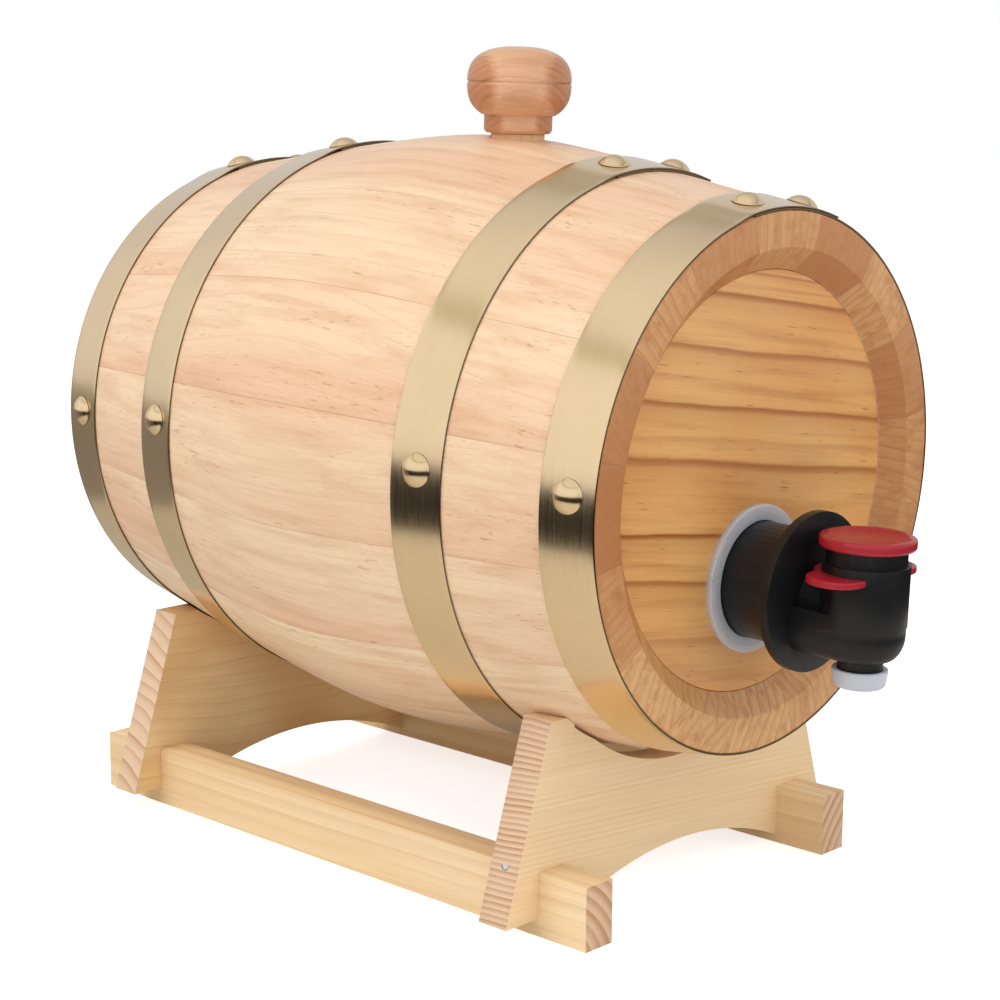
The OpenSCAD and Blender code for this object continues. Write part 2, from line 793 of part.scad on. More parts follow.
module dust_cap() {
    r = dust_cap_diameter / 2;
    foot = 1.2;
    color(clear_plastic) on_valve() rotate_extrude() polygon(concat(
        [[0, cap_end]],
        arc(r - 0.4 - foot, cap_end + foot, foot, -90, 0, 4),
        [[r, cap_rim_level - 1], [r, cap_rim_level],
         [nozzle_r + running_gap, cap_rim_level], [nozzle_r + running_gap, cap_end + cap_floor],
         [0, cap_end + cap_floor]]
    ));
}

front_cradle_board();
rear_cradle_board();
rail(-1);  // left_rail
rail(1);  // right_rail
stand_nails();
for (i = [0:stave_count - 1]) stave(i);
for (i = [0:3]) hoop(i);
for (i = [0:3]) hoop_rivets(i);
front_head();
rear_head();
gland_ring();
bag_gland();
liner_bag();
stopper_knob();
stopper_plug();
stopper_seal();
tap_body();
shank_seal();
finger_grips();
stem_seal();
return_spring();
button_cap();
valve_plunger();
valve_seal();
dust_cap();
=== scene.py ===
"""A small coopered wine cask on its stand, dressed for a studio picture.

The sizes are in millimetres unless a name says otherwise, and every mesh is in metres.
X runs to the right of a person who faces the tap, -Y points at that person, +Z is up.
"""
import json
import math
from functools import partial
from types import SimpleNamespace

import bmesh
import bpy
import numpy as np
from mathutils import Matrix, Vector


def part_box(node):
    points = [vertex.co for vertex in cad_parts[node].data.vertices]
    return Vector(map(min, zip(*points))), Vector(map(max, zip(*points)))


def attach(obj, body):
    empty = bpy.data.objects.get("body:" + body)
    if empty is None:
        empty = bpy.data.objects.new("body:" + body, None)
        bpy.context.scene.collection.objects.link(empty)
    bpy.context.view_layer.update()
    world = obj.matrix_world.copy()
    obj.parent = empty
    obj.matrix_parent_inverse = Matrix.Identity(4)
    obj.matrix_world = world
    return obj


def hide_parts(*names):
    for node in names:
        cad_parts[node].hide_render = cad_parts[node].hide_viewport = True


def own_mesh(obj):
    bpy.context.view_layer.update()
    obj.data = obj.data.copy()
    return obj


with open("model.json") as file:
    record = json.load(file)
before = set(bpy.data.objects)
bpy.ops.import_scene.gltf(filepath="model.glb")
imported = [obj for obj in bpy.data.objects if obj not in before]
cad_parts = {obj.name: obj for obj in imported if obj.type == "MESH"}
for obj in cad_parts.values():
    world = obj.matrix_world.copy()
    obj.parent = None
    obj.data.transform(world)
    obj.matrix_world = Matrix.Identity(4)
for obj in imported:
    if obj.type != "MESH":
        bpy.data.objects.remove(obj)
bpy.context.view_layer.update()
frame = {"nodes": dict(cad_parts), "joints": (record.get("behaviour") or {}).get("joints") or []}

bl_info = {
    "name": "Coopered Cask",
    "version": (1, 0, 0),
    "blender": (4, 5, 0),
    "location": "3D View > Sidebar > Cask",
    "description": "Dresses a small hooped cask, its stand, stopper and push-button tap",
    "category": "Object",
}

MM = 0.001
UP, RIGHT = np.array([0.0, 0.0, 1.0]), np.array([1.0, 0.0, 0.0])


# -------- places from the frame

def centre(node):
    """Middle of a node's box, in metres."""
    low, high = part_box(node)
    return (np.array(low) + np.array(high)) / 2


def unit(vector):
    """The vector at length 1."""
    vector = np.array(vector, float)
    return vector / np.linalg.norm(vector)


class Place:
    """A set of axes in metres: across (x), along (y) and up (z) from an origin."""

    def __init__(self, origin, along, across=RIGHT):
        self.origin = np.array(origin, float)
        self.along = unit(along)
        self.across = across
        self.up = np.cross(self.across, self.along)

    def __call__(self, points):
        """Points in millimetres in these axes, as metres in the row's frame."""
        points = np.asarray(points, float) * MM
        return (self.origin + points[..., :1] * self.across
                + points[..., 1:2] * self.along + points[..., 2:3] * self.up)

    def local(self, points):
        """Metres in the row's frame as x, y and z in millimetres in these axes."""
        away = (points - self.origin) / MM
        return away @ self.across, away @ self.along, away @ self.up


CASK = Place((centre("front_head") + centre("rear_head")) / 2,
             centre("rear_head") - centre("front_head"))
JOINTS = {joint["name"]: joint for joint in frame["joints"]}
TAP = Place(JOINTS["tap_turn"]["pos_m"], CASK.along)


# -------- sizes a user may change

def colour(hexa):
    """An sRGB hex value as linear RGBA."""
    srgb = np.array([int(hexa[i:i + 2], 16) for i in (1, 3, 5)]) / 255
    linear = np.where(srgb <= 0.04045, srgb / 12.92, ((srgb + 0.055) / 1.055) ** 2.4)
    return (*linear.tolist(), 1.0)


def size(name, description, metres):
    """A length property."""
    return bpy.props.FloatProperty(name=name, description=description, default=metres,
                                   unit="LENGTH")


def angle(name, description, degrees):
    """An angle property."""
    return bpy.props.FloatProperty(name=name, description=description,
                                   default=math.radians(degrees), subtype="ANGLE")


def swatch(name, description, hexa):
    """A colour property."""
    return bpy.props.FloatVectorProperty(name=name, description=description, subtype="COLOR",
                                         size=4, min=0.0, max=1.0, default=colour(hexa))


class CaskSizes(bpy.types.PropertyGroup):
    """Sizes of the cask, its hoops and its nails."""
    length: size("Length", "Length of the cask between its ends", 0.2146)
    end_radius: size("End radius", "Radius of the wood at either end", 0.0732)
    bilge_radius: size("Bilge radius", "Radius of the wood at the middle", 0.0879)
    bend: size("Bend", "How far the bend at a stave's middle reaches", 0.024)
    thickness: size("Stave thickness", "Thickness of a stave", 0.011)
    staves: bpy.props.IntProperty(
        name="Staves", description="Number of staves round the cask", default=16)
    chime_radius: size("Chime radius", "Inner radius of the end of the staves", 0.0635)
    head_radius: size("Head radius", "Radius of the head that shows", 0.0575)
    head_depth: size("Head depth", "Depth of the head below the cask's end", 0.0055)
    hoop_width: size("Hoop width", "Width of a hoop", 0.0158)
    hoop_thickness: size("Hoop thickness", "Thickness of the hoop strip", 0.00055)
    hoop_gap: size("Hoop gap", "Distance between an end hoop and the next", 0.0296)
    rivet_radius: size("Rivet radius", "Radius of a rivet's domed head", 0.0045)
    rivet_height: size("Rivet height", "Height of a rivet's domed head", 0.0024)


class CaskColours(bpy.types.PropertyGroup):
    """Colours of the woods, the metal and the plastics."""
    stave_light: swatch("Stave wood", "Spring wood of the staves", "#f0d4b0")
    stave_line: swatch("Stave line", "Summer wood of the staves", "#cd9a6e")
    stave_pink: swatch("Pink stave", "The pinker wood in the staves", "#e7bd99")
    stave_end: swatch("Stave end", "End grain at the chimes", "#dba86c")
    head_light: swatch("Head wood", "Spring wood of the heads", "#e3ae6c")
    head_line: swatch("Head line", "Summer wood of the heads", "#9c5620")
    head_warm: swatch("Warm head", "The more orange wood in the heads", "#dc9a55")
    stand_light: swatch("Stand wood", "Spring wood of the stand", "#f5dab0")
    stand_line: swatch("Stand line", "Summer wood of the stand", "#dcb27e")
    stand_end: swatch("Stand end", "End grain of the stand", "#e9cbac")
    rear_board: swatch("Rear board", "Spring wood of the rear board", "#f6d7a3")
    knob_light: swatch("Knob", "Turned wood of the stopper", "#d5a376")
    knob_line: swatch("Knob line", "Darker streaks in the stopper", "#a86e46")
    brass: swatch("Brass", "Hoops and rivets", "#edd2a9")
    black: swatch("Black plastic", "Tap body", "#151517")
    red: swatch("Red plastic", "Button and finger grips", "#a21d2c")


class StudioSettings(bpy.types.PropertyGroup):
    """The camera and the light."""
    azimuth: angle("Azimuth", "Camera's turn round the cask", -46.61)
    elevation: angle("Elevation", "Camera's height angle", 10.14)
    roll: angle("Roll", "Camera's roll", 0.35)
    distance: size("Distance", "Camera's distance from its target", 0.6698)
    lens: bpy.props.FloatProperty(
        name="Lens", description="Focal length for a 36 mm sensor", default=77.45,
        unit="CAMERA")
    daylight: bpy.props.FloatProperty(
        name="Daylight", description="Strength of the surrounding light", default=0.7,
        subtype="FACTOR", min=0.0, max=2.0)
    key: bpy.props.FloatProperty(
        name="Key", description="Power of the big soft lamp", default=7.4, unit="POWER")


def in_millimetres():
    """The cask's sizes in millimetres, and its number of staves."""
    group = bpy.context.scene.cask_sizes
    values = {name: getattr(group, name) for name in group.__annotations__}
    return SimpleNamespace(**{name: value if isinstance(value, int) else value / MM
                              for name, value in values.items()})


def swatches():
    """The colours as RGBA tuples."""
    group = bpy.context.scene.cask_colours
    return SimpleNamespace(**{name: tuple(getattr(group, name))
                              for name in group.__annotations__})


# -------- shapes

def stave_radius(y):
    """Radius of the cask's outside. A bent stave follows a hyperbola, nearly straight
    towards its ends, that drops by hypot(y, bend) - bend at y from its top."""
    sizes = in_millimetres()
    here, whole = (np.hypot(at, sizes.bend) - sizes.bend
                   for at in (np.asarray(y, float), sizes.length / 2))
    return sizes.bilge_radius - (sizes.bilge_radius - sizes.end_radius) * (here / whole)


def soften(points, radius, steps=4, closed=False):
    """The polyline with each corner cut back and replaced by a quadratic curve that is
    tangent to both sides, no further along a side than 0.45 of its length."""
    points = np.asarray(points, float)
    count = len(points)
    curve = np.linspace(0, 1, steps + 1)[:, None]
    out = []
    for i, (point, bend) in enumerate(zip(points, np.broadcast_to(radius, (count,)))):
        if (not closed and i in (0, count - 1)) or bend <= 0:
            out.append(point[None])
            continue
        before, after = points[i - 1] - point, points[(i + 1) % count] - point
        lengths = np.linalg.norm(before), np.linalg.norm(after)
        half = math.acos(np.clip(before @ after / (lengths[0] * lengths[1]), -1, 1)) / 2
        cut = min(bend / max(math.tan(half), 1e-6), 0.45 * lengths[0], 0.45 * lengths[1])
        start, end = point + before / lengths[0] * cut, point + after / lengths[1] * cut
        out.append((1 - curve) ** 2 * start + 2 * curve * (1 - curve) * point
                   + curve ** 2 * end)
    return np.concatenate(out)


def quads(rows, columns, wrap_rows=False, wrap_columns=False):
    """Faces of a grid of rows x columns points, numbered row by row."""
    r = np.arange(rows if wrap_rows else rows - 1)
    c = np.arange(columns if wrap_columns else columns - 1)
    r, c = np.meshgrid(r, c, indexing="ij")
    right, below = (c + 1) % columns, (r + 1) % rows
    return np.stack([r * columns + c, r * columns + right,
                     below * columns + right, below * columns + c], -1).reshape(-1, 4)


def lathe(profile, place, axis="z", steps=96):
    """Turns a closed outline of [radius, height] about a place's up or along axis: a point
    at angle t lies at radius cos t and radius sin t."""
    profile = np.asarray(profile, float)
    turn = np.linspace(0, 2 * np.pi, steps, endpoint=False)[:, None]
    radius, height = profile[None, :, 0], profile[None, :, 1]
    a, b, h = radius * np.cos(turn), radius * np.sin(turn), height + 0 * turn
    points = np.stack([a, b, h] if axis == "z" else [a, h, b], -1)
    return place(points).reshape(-1, 3), quads(steps, len(profile), True, True)


def sweep(rings):
    """Skins a row of closed rings, an array of rings x points x 3 in metres, and caps the
    two ends with one face each."""
    rows, columns = rings.shape[:2]
    faces = quads(rows, columns, False, True).tolist()
    faces += [list(range(columns)), [(rows - 1) * columns + k for k in range(columns)]]
    return rings.reshape(-1, 3), faces


def join(parts):
    """Several (points, faces) as one."""
    points, faces, first = [], [], 0
    for p, f in parts:
        points.append(p)
        faces += [[int(k) + first for k in face] for face in f]
        first += len(p)
    return np.concatenate(points), faces


def link(name, data):
    """A new object of the scene that holds the data."""
    item = bpy.data.objects.new(name, data)
    bpy.context.scene.collection.objects.link(item)
    return item


def settle(name, mesh, material, body, nodes):
    """A smooth piece of the mesh that rides on a CAD body, in place of the nodes."""
    mesh.shade_smooth()
    mesh.materials.append(material)
    item = link(name, mesh)
    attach(item, body)
    if nodes:
        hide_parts(*nodes)
    return item


def piece(name, shape, material, body, nodes=(), sharp=35.0):
    """A closed mesh from (points, faces), with its doubles merged and its faces turned
    outwards, smooth apart from edges sharper than the angle given in degrees."""
    points, faces = shape
    mesh = bpy.data.meshes.new(name)
    mesh.from_pydata(points.tolist(), [], [list(map(int, f)) for f in faces])
    work = bmesh.new()
    work.from_mesh(mesh)
    bmesh.ops.remove_doubles(work, verts=work.verts, dist=2e-6)
    bmesh.ops.dissolve_degenerate(work, edges=work.edges, dist=1e-7)
    bmesh.ops.recalc_face_normals(work, faces=work.faces)
    work.to_mesh(mesh)
    work.free()
    item = settle(name, mesh, material, body, nodes)
    mesh.set_sharp_from_angle(angle=math.radians(sharp))
    return item


def rounded_copy(name, node, material, body, width, segments=3):
    """A copy of a CAD node with its flat faces joined and its hard edges rounded."""
    mesh = bpy.data.meshes.new(name)
    work = bmesh.new()
    work.from_mesh(frame["nodes"][node].data)
    bmesh.ops.remove_doubles(work, verts=work.verts, dist=2e-6)
    bmesh.ops.dissolve_limit(work, angle_limit=math.radians(0.6), verts=work.verts,
                             edges=work.edges)
    work.to_mesh(mesh)
    work.free()
    item = settle(name, mesh, material, body, [node])
    bevel = item.modifiers.new("rounding", "BEVEL")
    bevel.width = width * MM
    bevel.segments = segments
    bevel.limit_method = "ANGLE"
    bevel.angle_limit = math.radians(30)
    bevel.use_clamp_overlap = True
    bevel.harden_normals = True
    return item


def write_board(item, coordinates, tint):
    """Stores where each point lay in the board it was cut from, in millimetres from the
    heart of the tree with Y along the grain, and how pink the board is."""
    mesh = item.data
    board = mesh.attributes.new("board", "FLOAT_VECTOR", "POINT")
    board.data.foreach_set("vector", np.stack(coordinates, -1).astype(np.float32).reshape(-1))
    shade = mesh.attributes.new("tint", "FLOAT", "POINT")
    shade.data.foreach_set("value", np.full(len(mesh.vertices), tint, np.float32))


def points_of(item):
    """A mesh's points as an array, in metres."""
    return np.array([point.co for point in item.data.vertices])


# -------- materials

RGBA = {"out": 2, "data_type": "RGBA"}    # what a Mix node needs to mix colours


def add(tree, kind, inputs=None, out=0, stops=(), **settings):
    """Adds a node, named by its kind and, after a space, its operation. Sets its properties,
    links or fills its inputs, and gives a colour ramp its (position, colour) stops. Returns
    one of the node's outputs."""
    kind, _, operation = kind.partition(" ")
    node = tree.nodes.new("ShaderNode" + kind)
    if operation:
        node.operation = operation
    for key, value in settings.items():
        setattr(node, key, value)
    for key, value in (inputs or {}).items():
        if isinstance(value, bpy.types.NodeSocket):
            tree.links.new(value, node.inputs[key])
        else:
            node.inputs[key].default_value = value
    if stops:
        ramp = node.color_ramp.elements
        ramp.remove(ramp[1])
    for i, (position, value) in enumerate(stops):
        stop = ramp.new(position) if i else ramp[0]
        stop.position, stop.color = position, value
    return node.outputs[out] if node.outputs else None


def new_material(name):
    """An empty node material, and add() for its tree."""
    material = bpy.data.materials.new(name)
    material.use_nodes = True
    material.node_tree.nodes.clear()
    return material, partial(add, material.node_tree)


def surfaced(material, sockets):
    """The material, ended with a Principled shader that has these sockets."""
    shader = add(material.node_tree, "BsdfPrincipled", sockets)
    add(material.node_tree, "OutputMaterial", {"Surface": shader})
    return material


def seen_directly(put):
    """1 on rays that come straight from the camera or through clear plastic, else 0."""
    return put("Math MAXIMUM", {0: put("LightPath", out="Is Camera Ray"),
                                1: put("LightPath", out="Is Transmission Ray")})


def grey(value):
    """A grey as RGBA."""
    return (value, value, value, 1.0)


def timber(name, light, line, warm, end, grain, ring, strength, banding=0.2, blotches=0.15,
           halo=0.3, late=0.84, fleck=0.5, wander=0.0045, warp=1.0, rim=1.0, roughness=0.5,
           coat=0.03):
    """Planed softwood under thin lacquer. Growth rings are shells round the heart of the
    tree, of pale spring wood that darkens to a thin line of summer wood, so faces show long
    figures and ends show arcs. ring is the width of a year in millimetres, late the share
    of it at which summer wood starts, and halo how dark it is there. grain is the direction
    of the fibres, end the colour where they are cut across, and rim how much of it a square
    cut shows; below 1 it leaves a square cut lighter than a slanting one, such as a chime's
    bevel, which is partly real end grain and partly a painted shade. banding and blotches
    are how dark denser wood gets along the grain and in the end grain."""
    material, put = new_material(name)
    board = put("Attribute", out="Vector", attribute_name="board")
    tint = put("Attribute", out="Fac", attribute_name="tint")

    # rings: distance from the heart, pushed up to 9 mm by slow noise, long with the grain
    slow = put("VectorMath MULTIPLY", {0: board, 1: (0.035, wander, 0.035)})
    push = put("TexNoise", {"Vector": slow, "Scale": 1.0, "Detail": 2.0})
    flat = put("VectorMath MULTIPLY", {0: board, 1: (1.0, 0.0, 1.0)})
    radius = put("VectorMath LENGTH", {0: flat}, "Value")
    pushed = put("Math MULTIPLY_ADD", {0: push, 1: 9.0 * warp, 2: radius})
    years = put("Math DIVIDE", {0: pushed, 1: ring})
    part = put("Math FRACT", {0: years})
    year = put("Math FLOOR", {0: years})
    profile = put("ValToRGB", {0: part}, stops=(
        (0.0, grey(0.3 * halo)), (0.06, grey(0.0)), (0.6 * late, grey(0.15 * halo)),
        (late, grey(halo)), (0.44 + 0.56 * late, grey(0.85)), (0.955, grey(1.0)),
        (0.985, grey(0.4)), (1.0, grey(0.3 * halo))))
    luck = put("TexWhiteNoise", {"W": year}, noise_dimensions="1D")
    vivid = put("Math MULTIPLY_ADD", {0: luck, 1: 0.6, 2: 0.45})
    ringed = put("Math MULTIPLY", {0: profile, 1: vivid})

    # how squarely the fibres are cut here, from the face's angle to the grain; the summer
    # wood shows darker and wider in a square cut
    facing = put("NewGeometry", out="True Normal")
    squarely = put("VectorMath DOT_PRODUCT", {0: facing, 1: tuple(grain)}, "Value")
    squarely = put("Math ABSOLUTE", {0: squarely})
    # a square cut gets only rim of the end colour, so a slanting cut such as a chime's bevel is
    # painted darker than a square end: partly end grain, partly painted shade
    cut = put("ValToRGB", {0: squarely}, stops=(
        (0.4, grey(0.0)), (0.6, grey(1.0)), (0.88, grey(1.0)), (0.97, grey(rim))))
    spread = put("MapRange", {0: cut, 3: 1.0, 4: 0.6})
    ringed = put("Math POWER", {0: ringed, 1: spread})
    depth = put("MapRange", {0: cut, 3: strength, 4: 0.85})
    amount = put("Math MULTIPLY", {0: ringed, 1: depth})

    # broad clouds of warmer wood, and bands of denser wood a few millimetres wide
    cloud = put("TexNoise", {"Vector": slow, "Scale": 0.9, "Detail": 1.0})
    mood = put("Math MULTIPLY_ADD", {0: cloud, 1: 2.0, 2: tint})
    warmth = put("MapRange", {0: mood, 1: 1.05, 2: 1.85})
    wood = put("Mix", {0: warmth, 6: light, 7: warm}, **RGBA)
    deep = tuple(c * k for c, k in zip(end, (0.6, 0.38, 0.23, 1.0)))
    aged = put("MapRange", {0: tint, 1: 0.28, 2: 0.66})
    ends = put("Mix", {0: aged, 6: end, 7: deep}, **RGBA)
    wood = put("Mix", {0: cut, 6: wood, 7: ends}, **RGBA)
    band_at = put("VectorMath MULTIPLY", {0: board, 1: (0.24, 0.016, 0.24)})
    band = put("TexNoise", {"Vector": band_at, "Scale": 1.0, "Detail": 4.0})
    most = put("MapRange", {0: cut, 3: banding, 4: blotches})
    dense = put("MapRange", {0: band, 1: 0.44, 2: 0.7, 4: most})
    shade = put("Math MAXIMUM", {0: amount, 1: dense})
    dark_wood = put("Mix", {0: cut, 6: line, 7: deep}, **RGBA)
    wood = put("Mix", {0: shade, 6: wood, 7: dark_wood}, **RGBA)

    # fibres: fine streaks a third of a millimetre wide, drawn coarser than real tracheids
    thin = put("VectorMath MULTIPLY", {0: board, 1: (2.6, 0.03, 2.6)})
    fibre = put("TexNoise", {"Vector": thin, "Scale": 1.0, "Detail": 3.0, "Roughness": 0.6})
    streak = put("MapRange", {0: fibre, 1: 0.3, 2: 0.7, 3: 0.94, 4: 1.05})
    wood = put("VectorMath MULTIPLY", {0: wood, 1: streak})

    # resin canals: short dark dashes a few millimetres long that gather in patches
    dash_at = put("VectorMath MULTIPLY", {0: board, 1: (1.5, 0.13, 1.5)})
    dash = put("TexNoise", {"Vector": dash_at, "Scale": 1.0, "Detail": 1.0,
                            "Roughness": 0.4})
    dashes = put("MapRange", {0: dash, 1: 0.64, 2: 0.78})
    patch = put("TexNoise", {"Vector": slow, "Scale": 3.1, "Detail": 0.0})
    patches = put("MapRange", {0: patch, 1: 0.46, 2: 0.62, 4: fleck})
    dark = put("Math MULTIPLY", {0: dashes, 1: patches})
    wood = put("Mix", {0: dark, 6: wood, 7: colour("#a0693a")}, **RGBA)

    gloss = put("MapRange", {0: fibre, 1: 0.3, 2: 0.7, 3: roughness - 0.05,
                             4: roughness + 0.07})
    relief = put("Math MULTIPLY_ADD", {0: amount, 1: 0.4, 2: fibre})
    bump = put("Bump", {"Height": relief, "Strength": 0.1, "Distance": 0.15 * MM})
    return surfaced(material, {"Base Color": wood, "Roughness": gloss, "Normal": bump,
                               "Coat Weight": coat, "Coat Roughness": 0.28})


def brass(name, roughness, brushed, painted_edge_shade):
    """Rolled brass. Fine lines run round the hoop where it was brushed, and its corners are
    darkened with a painted shade from an ambient occlusion node. The last argument is how
    dark the strip's sheared edges, which face along the cask, are painted: a painted shade
    for the shadow line between hoop and wood."""
    material, put = new_material(name)
    place = put("TexCoord", out="Object")
    lines = put("VectorMath MULTIPLY", {0: place, 1: (60.0, 2600.0, 60.0)})
    brush = put("TexNoise", {"Vector": lines, "Scale": 1.0, "Detail": 2.0})
    stain = put("TexNoise", {"Vector": place, "Scale": 38.0, "Detail": 3.0})
    base = swatches().brass
    dull = (*(c * 0.94 for c in base[:3]), 1.0)
    tone = put("MapRange", {0: stain, 1: 0.35, 2: 0.7})
    face = put("Mix", {0: tone, 6: base, 7: dull}, **RGBA)
    # painted shade: faces that point along the cask, the strip's sheared edges, are darkened
    # towards the dark colour below, standing in for the shadow line between hoop and wood
    facing = put("NewGeometry", out="True Normal")
    edge = put("VectorMath DOT_PRODUCT", {0: facing, 1: tuple(CASK.along)}, "Value")
    edge = put("Math ABSOLUTE", {0: edge})
    edge = put("MapRange", {0: edge, 1: 0.4, 2: 0.8, 4: painted_edge_shade})
    # painted shade: an ambient occlusion node darkens the metal in its corners, as round a
    # rivet's foot; both painted shades mix towards #4a3820
    corner = put("AmbientOcclusion", {"Distance": 1.2 * MM}, "AO", samples=8)
    corner = put("MapRange", {0: corner, 1: 0.35, 2: 0.8, 3: 0.85, 4: 0.0})
    dark = put("Math MAXIMUM", {0: edge, 1: corner})
    skin = put("Mix", {0: dark, 6: face, 7: colour("#4a3820")}, **RGBA)
    rough = put("MapRange", {0: brush, 1: 0.3, 2: 0.7, 3: roughness - brushed,
                             4: roughness + brushed})
    bump = put("Bump", {"Height": brush, "Strength": 6.0 * brushed, "Distance": 0.006 * MM})
    return surfaced(material, {"Base Color": skin, "Roughness": rough, "Normal": bump,
                               "Metallic": 1.0})


def moulded(name, base, roughness, grain=0.03, **sockets):
    """Injection-moulded plastic. The tool's fine spark texture breaks up the highlight,
    and handling leaves it a little uneven."""
    material, put = new_material(name)
    place = put("TexCoord", out="Object")
    spark = put("TexNoise", {"Vector": place, "Scale": 2600.0, "Detail": 1.0})
    wear = put("TexNoise", {"Vector": place, "Scale": 140.0, "Detail": 3.0})
    pale = (*(min(1.0, c * 1.12 + 0.002) for c in base[:3]), 1.0)
    skin = put("Mix", {0: wear, 6: base, 7: pale}, **RGBA)
    rough = put("MapRange", {0: wear, 1: 0.3, 2: 0.7, 3: roughness - 0.04,
                             4: roughness + 0.05})
    bump = put("Bump", {"Height": spark, "Strength": grain, "Distance": 0.02 * MM})
    others = {key.replace("_", " "): value for key, value in sockets.items()}
    return surfaced(material, {"Base Color": skin, "Roughness": rough, "Normal": bump,
                               "IOR": 1.5} | others)


def steel(name, base, roughness):
    """Drawn steel wire: bright, with a faint noise in its roughness."""
    material, put = new_material(name)
    noise = put("TexNoise", {"Vector": put("TexCoord", out="Object"), "Scale": 900.0,
                             "Detail": 2.0})
    rough = put("MapRange", {0: noise, 1: 0.3, 2: 0.7, 3: roughness - 0.05,
                             4: roughness + 0.08})
    return surfaced(material, {"Base Color": base, "Roughness": rough, "Metallic": 1.0})


# -------- the cask

HOOP_LIFT = 0.03    # hairline between a hoop and the wood
LIP, TONGUE = 3.0, 2.5    # the head's edge in front of its tongue, and the tongue's height
HEAD_THICKNESS = 9.0
TAP_SLEEVE = 18.06    # radius of the gland's sleeve through the front head
GLAND_BORE, GLAND_RING, GLAND_FLANGE = 16.06, 20.5, 24.0    # the gland's other radii
RING_DEPTH, FLANGE_DEPTH = 1.6, 1.5
BAG_RADIUS, BAG_CORNER, BAG_END = 60.5, 18, 3    # BAG_END is kept free behind the bag
BUNG_HOLE = 8.1    # radius of the stopper's hole in the top stave
ARRIS, STAVE_JOINT = 0.1, 0.02    # rounding of a stave's long edges, and half the gap
HOOPS = ("front_chime_hoop", "front_bilge_hoop", "rear_bilge_hoop", "rear_chime_hoop")
HOOP_TURNS = (0.0, 0.0, -1.0, -3.8)    # how far each hoop was nailed round from its place
# where rivets, nails and the lap's ends lie, and how long the step down from the lap is,
# in degrees round the cask from its top
LAP_RIVETS, SIDE_NAILS = (-6.0, 12.5), (-86.0, 86.0)
LAP_START, LAP_END, LAP_STEP = -11.5, 17.5, 7.0
RANDOM_SEED = 7
# how pink each stave is, and how brown at its ends, clockwise from the top
STAVE_TINTS = (0.44, 0.6, 0.38, 0.56, 0.46, 0.52, 0.36, 0.38, 0.27, 0.33, 0.3, 0.5, 0.66,
               0.6, 0.44, 0.56)
# The front head's dark growth lines: heights above the cask's axis where they cross the
# middle, how much they fall for each millimetre to the right, and their distance in the
# board that is stored for the material
HEAD_LINES = (-62.0, -41.0, -25.5, -13.4, 6.8, 21.2, 36.6, 50.8, 56.5, 66.0)
HEAD_FALL = 0.14
HEAD_YEAR = 20.0


def inset(outline, amount):
    """A closed outline moved inwards by a small amount along its mitred normals."""
    before = outline - np.roll(outline, 1, 0)
    after = np.roll(outline, -1, 0) - outline
    before /= np.linalg.norm(before, axis=1)[:, None]
    after /= np.linalg.norm(after, axis=1)[:, None]
    turned = [np.stack([v[:, 1], -v[:, 0]], -1) for v in (before, after)]
    normal = turned[0] + turned[1]
    scale = np.maximum((normal * turned[0]).sum(1), 0.4)
    x, y = outline[:, 0], outline[:, 1]
    area = (x * np.roll(y, -1) - np.roll(x, -1) * y).sum()
    return outline - np.sign(area) * normal / scale[:, None] * amount


def stave_outline():
    """A stave cut along its length, as a closed outline of [radius, distance along the
    cask]: the outside bulges as a hyperbola, and the inside has the bevel at each end, the
    groove for the head and then a curve that follows the outside."""
    sizes = in_millimetres()
    end, seat = sizes.length / 2, sizes.head_depth
    back = seat + HEAD_THICKNESS + 2
    outside = np.linspace(-end, end, 49)
    inside = np.linspace(end - back - 8, -(end - back - 8), 37)
    half = [(sizes.chime_radius, 0.0), (sizes.head_radius, seat),
            (sizes.head_radius, seat + LIP), (sizes.head_radius + TONGUE, seat + LIP),
            (sizes.head_radius + TONGUE, seat + 2 * LIP), (sizes.head_radius, seat + 2 * LIP),
            (sizes.head_radius, back)]
    outline = np.concatenate([
        np.stack([stave_radius(outside), outside], -1),
        [(r, end - depth) for r, depth in half],
        np.stack([stave_radius(inside) - sizes.thickness, inside], -1),
        [(r, depth - end) for r, depth in reversed(half)]])
    softness = np.zeros(len(outline))
    softness[[0, 48, 49, -1]] = 0.7
    softness[[50, -2]] = 0.3
    return soften(outline, softness, closed=True)


